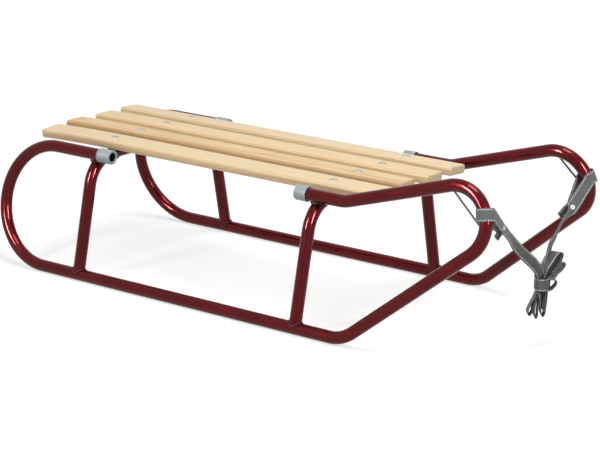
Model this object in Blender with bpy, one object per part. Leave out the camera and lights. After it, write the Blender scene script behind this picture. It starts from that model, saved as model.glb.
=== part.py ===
# A sled of bent steel tube: two runners that lean inwards, two bows that carry four wooden slats,
# plastic caps on the free tube ends, a guard rod in each nose and a webbing tow strap.
# Metres, +Z up, +X towards the noses, +Y to the rider's left. The origin is on the ground in the middle.
import bpy
import bmesh
import math
from mathutils import Matrix, Vector

# Steel tube
TUBE_RADIUS = 0.010
TUBE_WALL = 0.0015
TUBE_SIDES = 12
BEND_STEP = math.radians(8.0)

# Side frames: lengths along the sled are counted from the middle of the rear bend
HALF_TRACK = 0.193
SIDE_LEAN = math.radians(12.0)
RUNNER_RISE = 0.201
REAR_BOW_SETBACK = 0.081
BOW_SPACING = 0.447
KNEE_PAST_BOW = 0.056
KNEE_BEND = 0.059
CORNER_PAST_BOW = 0.0885
CORNER_BEND = 0.063
SLOPE = math.radians(39.6)
NOSE_PAST_CORNER = 0.165
NOSE_BEND = 0.0546
FRONT_END_TURN = math.radians(5.2)

# Bows: each shoulder is a tight bend that eases into the level middle
BOW_BEND = 0.0525
BOW_EASE_BEND = 0.320
BOW_EASE_TURN = math.radians(7.0)

# Slats
SLAT_WIDTH = 0.043
SLAT_THICKNESS = 0.015
SLAT_SIDE_GAP = 0.0215
SLAT_EDGE = 0.0045
SLAT_REAR_OVERHANG = 0.147
SLAT_FRONT_OVERHANG = 0.0995
SLAT_SHIFTS = (0.0, -0.006, 0.001, 0.0)

# End caps: those at the front are shorter and end closer to their bow
CAP_WALL = 0.0016
REAR_CAP_LENGTH = 0.0265
REAR_CAP_TO_BOW = 0.0043
FRONT_CAP_LENGTH = 0.0216
FRONT_CAP_TO_BOW = 0.0014
CAP_LIP = 0.002
CAP_HOLE_RADIUS = 0.0068
CAP_EDGE = 0.0008
CAP_SIDES = 24

# Guard rods: a chord across the inside of each nose bend. The two sides differ in the photograph.
ROD_RADIUS = 0.0015
ROD_SIDES = 8
RIGHT_ROD_TOP_ANGLE = math.radians(97.0)
LEFT_ROD_TOP_ANGLE = math.radians(84.0)
RIGHT_ROD_LOW_ANGLE = math.radians(3.0)
LEFT_ROD_LOW_ANGLE = math.radians(0.0)

# Tow strap
STRAP_WIDTH = 0.020
STRAP_THICKNESS = 0.0018
STRAP_SLACK = 0.0005
LOOP_ANGLE = math.radians(26.0)
LOOP_STEP = math.radians(20.0)
STRAP_TAIL = 0.012
HANK_DEPTH = 0.022
HANK_ACROSS = (-0.041, 0.067)
HANK_UP = (0.043, 0.137)
HANK_TOP_SHARE = 0.80
HANK_EDGE = 0.004

# Outline of the folded middle, from its upper left corner round to the right, as shares of its box
HANK_OUTLINE_SHARES = [
    (0.17, HANK_TOP_SHARE), (0.68, HANK_TOP_SHARE), (0.78, 1.00), (0.92, 1.00), (1.00, 0.88),
    (1.00, 0.72), (0.86, 0.58), (0.66, 0.46), (0.60, 0.10), (0.50, 0.00), (0.14, 0.00),
    (0.00, 0.12), (0.10, 0.40), (0.16, 0.54),
]

# Rivets: ahead of, inwards from and below the nose tube's centre inside the strap's loop
RIGHT_RIVET = (0.0117, 0.0289, 0.0265)
LEFT_RIVET = (-0.0008, 0.0341, 0.0477)

# Where the hanging runs meet the folded middle: ahead of its centre, and across from the sled's middle
RIGHT_END = (0.0037, -0.0100)
LEFT_END = (-0.0033, 0.0135)

# Points of the hanging runs as shares of the way from the end (0) to the rivet (1), along, across and up,
# each with the way that the webbing's flat side faces
RIGHT_ROUTE = [
    ((1.000, 1.000, 1.000), (0.90, -0.30, 0.30)),
    ((0.733, 0.854, 0.836), (0.75, -0.60, 0.27)),
    ((0.467, 0.674, 0.623), (0.60, -0.75, 0.27)),
    ((0.333, 0.488, 0.449), (0.60, -0.75, 0.27)),
    ((0.200, 0.269, 0.265), (0.65, -0.70, 0.27)),
    ((0.067, 0.094, 0.136), (0.75, -0.60, 0.20)),
    ((0.000, 0.000, 0.065), (1.00, -0.20, 0.00)),
    ((0.000, 0.000, 0.000), (1.00, -0.20, 0.00)),
]
LEFT_ROUTE = [
    ((1.000, 1.000, 1.000), (0.60, -0.60, 0.50)),
    ((0.846, 0.807, 0.877), (0.60, 0.10, 0.75)),
    ((0.654, 0.606, 0.766), (0.60, 0.40, 0.60)),
    ((0.423, 0.375, 0.577), (0.75, 0.45, 0.45)),
    ((0.192, 0.154, 0.377), (0.85, 0.30, 0.30)),
    ((0.077, 0.051, 0.199), (0.95, 0.10, 0.15)),
    ((0.000, 0.000, 0.084), (1.00, 0.00, 0.00)),
    ((0.000, 0.000, 0.000), (1.00, 0.00, 0.00)),
]

# Clearances and overruns
SEAT_GAP = 0.0003
OVERRUN = 0.004
CUTTER_SIDES = 32

REAR_BEND = RUNNER_RISE / 2
REAR_END_PAST_BOW = TUBE_RADIUS + REAR_CAP_TO_BOW + REAR_CAP_LENGTH - CAP_LIP - SEAT_GAP
FRONT_END_PAST_BOW = TUBE_RADIUS + FRONT_CAP_TO_BOW + FRONT_CAP_LENGTH - CAP_LIP - SEAT_GAP
FRONT_BOW_PLACE = REAR_BOW_SETBACK + BOW_SPACING
KNEE_PLACE = FRONT_BOW_PLACE + KNEE_PAST_BOW
CORNER_PLACE = FRONT_BOW_PLACE + CORNER_PAST_BOW
NOSE_PLACE = CORNER_PLACE + NOSE_PAST_CORNER
NOSE_HEIGHT = NOSE_PAST_CORNER * math.tan(SLOPE) + NOSE_BEND / math.cos(SLOPE)
MIDDLE = (NOSE_PLACE + NOSE_BEND - REAR_BEND) / 2
HANK_PLACE = NOSE_PLACE + NOSE_BEND + TUBE_RADIUS - MIDDLE


def clear_scene():
    for item in list(bpy.data.objects):
        bpy.data.objects.remove(item, do_unlink=True)


def make_material(name, colour, roughness, metallic):
    material = bpy.data.materials.new(name)
    material.use_nodes = True
    shader = material.node_tree.nodes["Principled BSDF"]
    shader.inputs["Base Color"].default_value = (*colour, 1.0)
    shader.inputs["Roughness"].default_value = roughness
    shader.inputs["Metallic"].default_value = metallic
    return material


def add_object(name, mesh, material):
    item = bpy.data.objects.new(name, mesh)
    bpy.context.scene.collection.objects.link(item)
    mesh.materials.append(material)
    return item


def hide_cutter(item):
    item.hide_render = True
    item.display_type = "WIRE"


def cut(item, cutter):
    modifier = item.modifiers.new("cut", "BOOLEAN")
    modifier.operation = "DIFFERENCE"
    modifier.solver = "EXACT"
    modifier.object = cutter


# A place by a side frame's leaning plane: along from the rear bend, up the plane from the ground tube's
# centre, and tucked inwards from the plane.
def side_place(along, up, side, tuck=0.0):
    across = HALF_TRACK - up * math.sin(SIDE_LEAN) - tuck * math.cos(SIDE_LEAN)
    rise = up * math.cos(SIDE_LEAN) - tuck * math.sin(SIDE_LEAN)
    return Vector((along - MIDDLE, side * across, TUBE_RADIUS + rise))


# Outward normal of a side frame's leaning plane.
def side_normal(side):
    return Vector((0.0, side * math.cos(SIDE_LEAN), math.sin(SIDE_LEAN)))


# Points on an arc, with one for about each BEND_STEP, both ends included.
def arc(centre, radius, start, end):
    steps = max(2, math.ceil(abs(end - start) / BEND_STEP))
    angles = [start + (end - start) * i / steps for i in range(steps + 1)]
    return [(centre[0] + radius * math.cos(a), centre[1] + radius * math.sin(a)) for a in angles]


# The bend of a tube at a corner: the arc that touches both straight runs.
def corner_arc(corner, angle_in, angle_out, radius):
    turn = angle_out - angle_in
    side = math.copysign(1.0, turn)
    reach = radius * math.tan(abs(turn) / 2)
    start = (corner[0] - reach * math.cos(angle_in), corner[1] - reach * math.sin(angle_in))
    centre = (start[0] - side * radius * math.sin(angle_in), start[1] + side * radius * math.cos(angle_in))
    first = angle_in - side * math.pi / 2
    return arc(centre, radius, first, first + turn)


# Where the bow's bend leaves its straight leg: the bend's outer side then touches the rear top tube.
def bow_bend_start():
    reach = 2 * TUBE_RADIUS + SEAT_GAP
    return RUNNER_RISE - math.sqrt(reach * reach + 2 * reach * BOW_BEND)


# The front free end rests further round the bow's shoulder: its way up the plane and its tuck inwards.
def front_end_seat():
    start = bow_bend_start()
    reach = BOW_BEND + 2 * TUBE_RADIUS + SEAT_GAP
    angle = math.atan2(RUNNER_RISE - start, BOW_BEND) + FRONT_END_TURN
    return start + reach * math.sin(angle), BOW_BEND - reach * math.cos(angle)


# The front top line starts at the knee and touches the nose bend from above.
def front_line_angle():
    run = NOSE_PLACE - KNEE_PLACE
    climb = NOSE_HEIGHT - front_end_seat()[0]
    return math.atan2(climb, run) + math.asin(NOSE_BEND / math.hypot(run, climb))


# Centre line from the slope's end round the nose and back to the knee. Behind the nose it draws inwards.
def nose_outline():
    rise = front_line_angle()
    level, tuck = front_end_seat()
    flat = arc((NOSE_PLACE, NOSE_HEIGHT), NOSE_BEND, SLOPE - math.pi / 2, math.pi / 2 + rise)
    flat += corner_arc((KNEE_PLACE, level), math.pi + rise, math.pi, KNEE_BEND)
    run = NOSE_PLACE - KNEE_PLACE
    return [(along, up, tuck * min(1.0, max(0.0, (NOSE_PLACE - along) / run))) for along, up in flat]


# Centre line of one runner, from its rear free end, round the rear bend and along the ground,
# up the slope, round the nose and back to its front free end. Each point is along, up and tuck.
def runner_outline():
    level, tuck = front_end_seat()
    flat = [(REAR_BOW_SETBACK + REAR_END_PAST_BOW, RUNNER_RISE)]
    flat += arc((0.0, REAR_BEND), REAR_BEND, math.pi / 2, 3 * math.pi / 2)
    flat += corner_arc((CORNER_PLACE, 0.0), 0.0, SLOPE, CORNER_BEND)
    points = [(along, up, 0.0) for along, up in flat] + nose_outline()
    points.append((FRONT_BOW_PLACE - FRONT_END_PAST_BOW, level, tuck))
    return points


# Centres of the left shoulder's tight bend and of its easing bend, as across and up.
def bow_centres():
    bend = side_place(0.0, bow_bend_start(), 1)
    tight = (bend.y - BOW_BEND * math.cos(SIDE_LEAN), bend.z - BOW_BEND * math.sin(SIDE_LEAN))
    apart = BOW_EASE_BEND - BOW_BEND
    eased = (tight[0] - apart * math.sin(BOW_EASE_TURN), tight[1] - apart * math.cos(BOW_EASE_TURN))
    return tight, eased


# Centre line of one bow across the sled, from the right leg's foot to the left leg's foot.
def bow_outline():
    tight, eased = bow_centres()
    foot = side_place(0.0, 0.0, 1)
    half = [(foot.y, foot.z)]
    half += arc(tight, BOW_BEND, SIDE_LEAN, math.pi / 2 - BOW_EASE_TURN)
    half += arc(eased, BOW_EASE_BEND, math.pi / 2 - BOW_EASE_TURN, math.pi / 2)[1:]
    mirrored = [(-across, up) for across, up in reversed(half)]
    return half + mirrored


# The bow's centre line under a slat: its height there and how far it turns down from level.
def bow_under_slat(across):
    eased = bow_centres()[1]
    turn = math.asin(max(0.0, abs(across) - eased[0]) / BOW_EASE_BEND)
    return eased[1] + BOW_EASE_BEND * math.cos(turn), math.copysign(turn, across)


# Distance between the slats: the outer two keep their gap from the rear top tubes.
def slat_pitch():
    tube = side_place(0.0, RUNNER_RISE, 1).y - TUBE_RADIUS
    outer = tube - SLAT_SIDE_GAP - SLAT_WIDTH / 2
    return 2 * outer / (len(SLAT_SHIFTS) - 1)


# Right-handed frame at each point of a path: X across, Y outwards, Z along the path.
def path_frames(points, normals):
    frames = []
    last = len(points) - 1
    for i, point in enumerate(points):
        ahead = points[min(i + 1, last)] - point
        behind = point - points[max(i - 1, 0)]
        along = (ahead.normalized() + behind.normalized()).normalized()
        across = (normals[i] - along * normals[i].dot(along)).normalized()
        outward = along.cross(across)
        frame = Matrix((across, outward, along)).transposed().to_4x4()
        frames.append(Matrix.Translation(point) @ frame)
    return frames


# Carry a closed section along the frames by extruding its ring from one frame to the next.
def sweep(section, frames, filled):
    work = bmesh.new()
    ring = [work.verts.new(frames[0] @ Vector((x, y, 0.0))) for x, y in section]
    edges = [work.edges.new((ring[i], ring[(i + 1) % len(ring)])) for i in range(len(ring))]
    first = list(edges)
    for here, there in zip(frames, frames[1:]):
        made = bmesh.ops.extrude_edge_only(work, edges=edges)["geom"]
        moved = [item for item in made if isinstance(item, bmesh.types.BMVert)]
        bmesh.ops.transform(work, matrix=there @ here.inverted(), verts=moved, space=Matrix.Identity(4))
        edges = [item for item in made if isinstance(item, bmesh.types.BMEdge)]
        edges = [edge for edge in edges if edge.verts[0] in moved and edge.verts[1] in moved]
    if filled:
        bmesh.ops.edgeloop_fill(work, edges=first)
        bmesh.ops.edgeloop_fill(work, edges=edges)
    work.faces.ensure_lookup_table()
    middle = frames[0].translation.lerp(frames[1].translation, 1 / 2)
    face = work.faces[0]
    if face.normal.length == 0.0:
        work.normal_update()
    if face.normal.dot(face.calc_center_median() - middle) < 0.0:
        bmesh.ops.reverse_faces(work, faces=work.faces[:])
    if filled:
        bmesh.ops.recalc_face_normals(work, faces=work.faces[:])
    mesh = bpy.data.meshes.new("swept")
    work.to_mesh(mesh)
    work.free()
    return mesh


def circle_section(radius, sides, turn):
    angles = [turn + 2 * math.pi * i / sides for i in range(sides)]
    return [(radius * math.cos(a), radius * math.sin(a)) for a in angles]


def smooth(item):
    item.data.shade_smooth()
    item.data.set_sharp_from_angle(angle=math.radians(40.0))


# Hollow tube: the outer skin is swept, and its wall grows inwards.
def add_tube(name, points, normals, turn, material):
    mesh = sweep(circle_section(TUBE_RADIUS, TUBE_SIDES, turn), path_frames(points, normals), False)
    item = add_object(name, mesh, material)
    smooth(item)
    wall = item.modifiers.new("wall", "SOLIDIFY")
    wall.thickness = TUBE_WALL
    wall.offset = -1.0
    wall.use_even_offset = True
    return item


def add_runner(name, side, material):
    points = [side_place(along, up, side, tuck) for along, up, tuck in runner_outline()]
    normals = [side_normal(side)] * len(points)
    return add_tube(name, points, normals, -side * SIDE_LEAN, material)


# A stretch of round bar a little wider than the tube, which copes the pieces that end on it.
def add_coping_bar(name, points, normal):
    frames = path_frames(points, [normal] * len(points))
    mesh = sweep(circle_section(TUBE_RADIUS + SEAT_GAP, CUTTER_SIDES, 0.0), frames, True)
    item = bpy.data.objects.new(name, mesh)
    bpy.context.scene.collection.objects.link(item)
    hide_cutter(item)
    return item


def add_bow(name, place, material):
    points = [Vector((place - MIDDLE, across, up)) for across, up in bow_outline()]
    normals = [Vector((1.0, 0.0, 0.0))] * len(points)
    item = add_tube(name, points, normals, 0.0, material)
    for side in (-1, 1):
        reach = TUBE_RADIUS + OVERRUN
        ends = [side_place(place - reach, 0.0, side), side_place(place + reach, 0.0, side)]
        cut(item, add_coping_bar(f"{name}_cope_{side}", ends, side_normal(side)))
    return item


# A slat lies on both bows, square to their tops where it crosses them.
def add_slat(name, across, shift, material):
    rear = REAR_BOW_SETBACK - SLAT_REAR_OVERHANG + shift - MIDDLE
    front = FRONT_BOW_PLACE + SLAT_FRONT_OVERHANG + shift - MIDDLE
    height, turn = bow_under_slat(across)
    reach = TUBE_RADIUS + SEAT_GAP + SLAT_THICKNESS / 2
    work = bmesh.new()
    bmesh.ops.create_cube(work, size=1.0)
    bmesh.ops.scale(work, vec=(front - rear, SLAT_WIDTH, SLAT_THICKNESS), verts=work.verts)
    mesh = bpy.data.meshes.new(name)
    work.to_mesh(mesh)
    work.free()
    item = add_object(name, mesh, material)
    item.location = ((rear + front) / 2, across + reach * math.sin(turn), height + reach * math.cos(turn))
    item.rotation_euler = (-turn, 0.0, 0.0)
    edge = item.modifiers.new("eased edges", "BEVEL")
    edge.width = SLAT_EDGE
    edge.segments = 3
    smooth(item)
    return item


# Sleeve over a tube's free end, turned about the tube's centre line, with a lip that keeps a round hole.
def add_cap(name, end, along, length, material):
    inner = TUBE_RADIUS + SEAT_GAP
    outer = inner + CAP_WALL
    back = SEAT_GAP + CAP_LIP - length
    lip = SEAT_GAP
    tip = SEAT_GAP + CAP_LIP
    profile = [(inner, back), (outer - CAP_EDGE, back), (outer, back + CAP_EDGE), (outer, tip - CAP_EDGE),
               (outer - CAP_EDGE, tip), (CAP_HOLE_RADIUS, tip), (CAP_HOLE_RADIUS, lip), (inner, lip)]
    work = bmesh.new()
    verts = [work.verts.new((radius, 0.0, height)) for radius, height in profile]
    edges = [work.edges.new((verts[i], verts[(i + 1) % len(verts)])) for i in range(len(verts))]
    bmesh.ops.spin(work, geom=verts + edges, cent=(0.0, 0.0, 0.0), axis=(0.0, 0.0, 1.0),
                   angle=2 * math.pi, steps=CAP_SIDES, use_merge=True)
    bmesh.ops.recalc_face_normals(work, faces=work.faces[:])
    mesh = bpy.data.meshes.new(name)
    work.to_mesh(mesh)
    work.free()
    item = add_object(name, mesh, material)
    item.location = end
    item.rotation_euler = along.to_track_quat("Z", "Y").to_euler()
    smooth(item)
    return item


def nose_place(angle, radius, side):
    along = NOSE_PLACE + radius * math.cos(angle)
    up = NOSE_HEIGHT + radius * math.sin(angle)
    return side_place(along, up, side)


def add_guard_rod(name, side, top_angle, low_angle, material):
    high = nose_place(top_angle, NOSE_BEND - TUBE_RADIUS, side)
    low = nose_place(low_angle, NOSE_BEND - TUBE_RADIUS, side)
    beyond = (high - low).normalized() * TUBE_RADIUS
    normal = side_normal(side)
    frames = path_frames([high + beyond, low - beyond], [normal, normal])
    item = add_object(name, sweep(circle_section(ROD_RADIUS, ROD_SIDES, 0.0), frames, True), material)
    points = [side_place(along, up, side, tuck) for along, up, tuck in nose_outline()]
    cut(item, add_coping_bar(f"{name}_cope", points, normal))
    smooth(item)
    return item


def loop_centre(side):
    return nose_place(LOOP_ANGLE, NOSE_BEND, side)


# The strap's turn round a nose: from the tail end past the rivet, round the tube and back to the rivet.
# The flat webbing spans the hollow side of the bend, so it stands off the tube there.
def strap_loop(rivet, side):
    centre = loop_centre(side)
    radial = (nose_place(LOOP_ANGLE, NOSE_BEND + TUBE_RADIUS, side) - centre).normalized()
    normal = side_normal(side)
    along_tube = radial.cross(normal) * -side
    offset = rivet - centre
    drift = offset.dot(along_tube)
    reach = math.hypot(offset.dot(radial), offset.dot(normal))
    aim = math.atan2(offset.dot(normal), offset.dot(radial))
    inside = NOSE_BEND - TUBE_RADIUS
    bulge = inside - math.sqrt(inside * inside - STRAP_WIDTH * STRAP_WIDTH / 4)
    radius = TUBE_RADIUS + bulge + SEAT_GAP + STRAP_SLACK + STRAP_THICKNESS / 2
    opening = math.acos(radius / reach)
    layer = STRAP_THICKNESS / 2 + SEAT_GAP
    outward = radial * math.cos(aim) + normal * math.sin(aim)
    beside = normal * math.cos(aim) - radial * math.sin(aim)
    flat = centre + outward * reach + along_tube * drift
    points = [flat + outward * STRAP_TAIL + beside * layer, flat + beside * layer]
    steps = math.ceil((2 * math.pi - 2 * opening) / LOOP_STEP)
    for i in range(steps + 1):
        angle = aim + opening + (2 * math.pi - 2 * opening) * i / steps
        place = centre + (radial * math.cos(angle) + normal * math.sin(angle)) * radius
        points.append(place)
    points.append(flat - beside * layer)
    return points, along_tube


# Places of one hanging run, spread by their shares from the folded middle up to the rivet.
def run_places(side, rivet, end, route):
    ahead, inwards, below = rivet
    high = loop_centre(side) + Vector((ahead, -side * inwards, -below))
    top = HANK_UP[0] + (HANK_UP[1] - HANK_UP[0]) * HANK_TOP_SHARE
    low = Vector((HANK_PLACE + end[0], end[1], top + SEAT_GAP))
    return [low + Vector([s * d for s, d in zip(shares, high - low)]) for shares, faces in route]


# One half of the strap: its loop round a nose, then its run down to the hank. Each point of the run
# has the direction that the webbing's flat side faces.
def add_strap_half(name, side, rivet, end, route, material):
    places = run_places(side, rivet, end, route)
    points, along_tube = strap_loop(places[0], side)
    widths = [along_tube] * len(points)
    for place, (shares, faces) in list(zip(places, route))[1:]:
        ahead = place - points[-1]
        across = ahead.cross(Vector(faces))
        widths.append(across if across.dot(widths[-1]) > 0.0 else -across)
        points.append(place)
    half_width = STRAP_WIDTH / 2
    half_depth = STRAP_THICKNESS / 2
    section = [(-half_width, -half_depth), (half_width, -half_depth),
               (half_width, half_depth), (-half_width, half_depth)]
    return add_object(name, sweep(section, path_frames(points, widths), True), material)


# The folded middle of the strap, as one block with its outer shape.
def add_hank(name, material):
    low_y, high_y = HANK_ACROSS
    low_z, high_z = HANK_UP
    work = bmesh.new()
    outline = []
    for across, up in HANK_OUTLINE_SHARES:
        y = low_y + (high_y - low_y) * across
        z = low_z + (high_z - low_z) * up
        outline.append(work.verts.new((HANK_PLACE - HANK_DEPTH / 2, y, z)))
    face = work.faces.new(outline)
    made = bmesh.ops.extrude_face_region(work, geom=[face])["geom"]
    moved = [item for item in made if isinstance(item, bmesh.types.BMVert)]
    bmesh.ops.translate(work, vec=(HANK_DEPTH, 0.0, 0.0), verts=moved)
    bmesh.ops.recalc_face_normals(work, faces=work.faces[:])
    mesh = bpy.data.meshes.new(name)
    work.to_mesh(mesh)
    work.free()
    item = add_object(name, mesh, material)
    edge = item.modifiers.new("soft edges", "BEVEL")
    edge.width = HANK_EDGE
    edge.segments = 2
    return item


def build():
    clear_scene()
    lacquer = make_material("burgundy lacquer", (0.28, 0.012, 0.022), 0.22, 0.35)
    wood = make_material("light wood", (0.78, 0.57, 0.34), 0.55, 0.0)
    plastic = make_material("grey plastic", (0.52, 0.55, 0.58), 0.5, 0.0)
    steel = make_material("steel rod", (0.25, 0.25, 0.26), 0.4, 0.9)
    webbing = make_material("grey webbing", (0.13, 0.14, 0.15), 0.85, 0.0)

    front_level, front_tuck = front_end_seat()
    for label, side in (("right", -1), ("left", 1)):
        add_runner(f"runner_{label}", side, lacquer)
        rear = side_place(REAR_BOW_SETBACK + REAR_END_PAST_BOW, RUNNER_RISE, side)
        front = side_place(FRONT_BOW_PLACE - FRONT_END_PAST_BOW, front_level, side, front_tuck)
        add_cap(f"cap_rear_{label}", rear, Vector((1.0, 0.0, 0.0)), REAR_CAP_LENGTH, plastic)
        add_cap(f"cap_front_{label}", front, Vector((-1.0, 0.0, 0.0)), FRONT_CAP_LENGTH, plastic)

    add_guard_rod("guard_rod_right", -1, RIGHT_ROD_TOP_ANGLE, RIGHT_ROD_LOW_ANGLE, steel)
    add_guard_rod("guard_rod_left", 1, LEFT_ROD_TOP_ANGLE, LEFT_ROD_LOW_ANGLE, steel)

    add_bow("bow_rear", REAR_BOW_SETBACK, lacquer)
    add_bow("bow_front", FRONT_BOW_PLACE, lacquer)

    for number, shift in enumerate(SLAT_SHIFTS):
        across = (number - (len(SLAT_SHIFTS) - 1) / 2) * slat_pitch()
        add_slat(f"slat_{number + 1}", across, shift, wood)

    add_strap_half("strap_right", -1, RIGHT_RIVET, RIGHT_END, RIGHT_ROUTE, webbing)
    add_strap_half("strap_left", 1, LEFT_RIVET, LEFT_END, LEFT_ROUTE, webbing)
    add_hank("strap_hank", webbing)


build()
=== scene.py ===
import math

import bmesh
import bpy
import numpy as np
from mathutils import Matrix, Vector


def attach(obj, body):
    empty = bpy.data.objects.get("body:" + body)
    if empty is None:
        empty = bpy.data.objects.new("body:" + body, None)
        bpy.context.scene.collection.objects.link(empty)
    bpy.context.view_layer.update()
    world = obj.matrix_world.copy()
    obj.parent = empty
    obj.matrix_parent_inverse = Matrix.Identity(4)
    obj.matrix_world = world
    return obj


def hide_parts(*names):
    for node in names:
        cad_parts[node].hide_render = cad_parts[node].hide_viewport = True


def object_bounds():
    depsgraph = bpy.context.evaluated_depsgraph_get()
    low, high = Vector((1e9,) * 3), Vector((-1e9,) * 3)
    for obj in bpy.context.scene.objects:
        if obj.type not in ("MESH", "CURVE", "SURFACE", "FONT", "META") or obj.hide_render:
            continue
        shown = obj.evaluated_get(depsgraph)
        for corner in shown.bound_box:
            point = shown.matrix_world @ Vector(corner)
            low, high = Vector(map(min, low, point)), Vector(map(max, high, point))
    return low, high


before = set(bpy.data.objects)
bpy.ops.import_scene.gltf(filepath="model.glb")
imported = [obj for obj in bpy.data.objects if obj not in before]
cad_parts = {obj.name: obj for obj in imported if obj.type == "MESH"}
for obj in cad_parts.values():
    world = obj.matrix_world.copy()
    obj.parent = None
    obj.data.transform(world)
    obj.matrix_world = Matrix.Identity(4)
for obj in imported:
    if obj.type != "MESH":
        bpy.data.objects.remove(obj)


# The two corners of a box as plain numbers.
def boxAsLists(box):
    return [[float(value) for value in corner] for corner in box]


cadBox = boxAsLists(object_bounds())

# The sled's own measures, in metres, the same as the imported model's. Lengths along a side frame are
# counted from the middle of the rear bend.
sled = {
    "tubeRadius": 0.010,
    "tubeWall": 0.0015,
    "halfTrack": 0.193,
    "sideLean": math.radians(12.0),
    "middle": 0.3678,
    "runnerRise": 0.201,
    "seatGap": 0.0003,
    "bows": {"Rear": -0.2868, "Front": 0.1602},
    "sides": {"Right": -1, "Left": 1},
}

cameraValues = {
    "place": (2.01817174, -2.66326775, 1.03800512),
    "right": (0.79842426, 0.60198757, 0.01138678),
    "up": (-0.17086225, 0.20840141, 0.96300309),
    "ahead": (-0.57734287, 0.77083060, -0.26924969),
    "lens": 127.784,
    "sensor": 36.0,
    "clip": 0.05,
}


# Puts data into the scene as an object.
def addObject(name, data):
    item = bpy.data.objects.new(name, data)
    bpy.context.scene.collection.objects.link(item)
    return item


# The photo's camera. The columns of its turn are its right, its up and the way back from what it sees.
def addCamera(values):
    data = bpy.data.cameras.new("camera")
    data.sensor_width = values["sensor"]
    data.sensor_fit = "HORIZONTAL"
    data.lens = values["lens"]
    data.clip_start = values["clip"]
    item = addObject("camera", data)
    right, up, ahead = (Vector(values[key]) for key in ("right", "up", "ahead"))
    turn = Matrix((right, up, -ahead)).transposed().to_4x4()
    item.matrix_world = Matrix.Translation(values["place"]) @ turn
    bpy.context.scene.camera = item


addCamera(cameraValues)
print("camera is in place")


# Every row divided by its own length.
def unit(rows):
    rows = np.asarray(rows, float)
    return rows / np.maximum(np.linalg.norm(rows, axis=-1, keepdims=True), 1e-12)


# Direction of a path at each of its points: the mean of the steps before and after it.
def pathDirections(path):
    steps = unit(np.diff(path, axis=0))
    ends = np.vstack([steps[:1], steps, steps[-1:]])
    return unit(ends[:-1] + ends[1:])


# Distance along a path from its first point: the running sum of its steps.
def pathLengths(path):
    return np.concatenate([[0.0], np.cumsum(np.linalg.norm(np.diff(path, axis=0), axis=1))])


# Smooth curve through stations: each stretch is a cubic that leaves and meets its ends with the slope of
# the parabola through their neighbours, read again at even steps. Extra columns go through the same cubic.
def smoothPath(stations, step, extra, parts=24):
    rows = np.hstack([np.asarray(stations, float), np.asarray(extra, float)])
    gap = np.linalg.norm(np.diff(rows[:, :3], axis=0), axis=1)[:, None]
    slope = np.diff(rows, axis=0) / gap
    middle = (slope[:-1] * gap[1:] + slope[1:] * gap[:-1]) / (gap[:-1] + gap[1:])
    slope = np.vstack([slope[:1], middle, slope[-1:]])
    t = np.linspace(0.0, 1.0, parts, endpoint=False)[None, :, None]
    cubic = rows[:-1, None] * (2 * t ** 3 - 3 * t ** 2 + 1) + rows[1:, None] * (3 * t ** 2 - 2 * t ** 3)
    lean = slope[:-1, None] * (t ** 3 - 2 * t ** 2 + t) + slope[1:, None] * (t ** 3 - t ** 2)
    cubic += gap[:, None] * lean
    dense = np.vstack([cubic.reshape(-1, rows.shape[1]), rows[-1:]])
    length = pathLengths(dense[:, :3])
    even = np.linspace(0.0, length[-1], max(2, int(round(length[-1] / step)) + 1))
    table = np.stack([np.interp(even, length, dense[:, k]) for k in range(rows.shape[1])], axis=1)
    return table[:, :3], table[:, 3:]


# Straight stretches get points in between, so that no step is longer than the limit.
def fillPath(path, limit):
    path = np.asarray(path, float)
    rows = [path[:1]]
    for here, there in zip(path[:-1], path[1:]):
        count = max(1, int(math.ceil(np.linalg.norm(there - here) / limit)))
        rows.append(here + (there - here) * np.linspace(0.0, 1.0, count + 1)[1:, None])
    return np.vstack(rows)


# Points and faces as a mesh object. Lengths, where given, are (across, along) in metres for each point.
def meshObject(name, points, faces, lengths=None, sharp=50.0):
    mesh = bpy.data.meshes.new(name)
    mesh.from_pydata(np.asarray(points, float).tolist(), [], faces)
    if lengths is not None:
        corner = np.empty(len(mesh.loops), dtype=np.int32)
        mesh.loops.foreach_get("vertex_index", corner)
        layer = mesh.uv_layers.new(name="lengths")
        layer.data.foreach_set("uv", np.asarray(lengths, dtype=np.float32)[corner].ravel())
    mesh.shade_smooth()
    mesh.set_sharp_from_angle(angle=math.radians(sharp))
    return addObject(name, mesh)


# Quads of a grid: point (row, column) joins (row, column + 1), and each row closes on itself.
def ringQuads(rows, columns):
    row, col = np.meshgrid(np.arange(rows - 1), np.arange(columns), indexing="ij")
    after = (col + 1) % columns
    here, there = row * columns, (row + 1) * columns
    return np.stack([here + col, here + after, there + after, there + col], axis=-1).reshape(-1, 4)


# A skin over rings of points. Each open end closes on the middle of its last ring.
def ringsObject(name, rings, closed=True, sharp=50.0, across=None, along=None):
    rows, columns = rings.shape[:2]
    points = rings.reshape(-1, 3)
    faces = ringQuads(rows, columns).tolist()
    if closed:
        first = len(points)
        points = np.vstack([points, rings[0].mean(axis=0), rings[-1].mean(axis=0)])
        col = np.arange(columns)
        after = (col + 1) % columns
        start = (rows - 1) * columns
        faces += np.stack([after, col, np.full(columns, first)], axis=1).tolist()
        faces += np.stack([start + col, start + after, np.full(columns, first + 1)], axis=1).tolist()
    lengths = None
    if across is not None:
        lengths = np.stack(np.meshgrid(across, along), axis=-1).reshape(-1, 2)
        lengths = np.vstack([lengths, [np.mean(across), along[0]], [np.mean(across), along[-1]]])
    return meshObject(name, points, faces, lengths, sharp)


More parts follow.
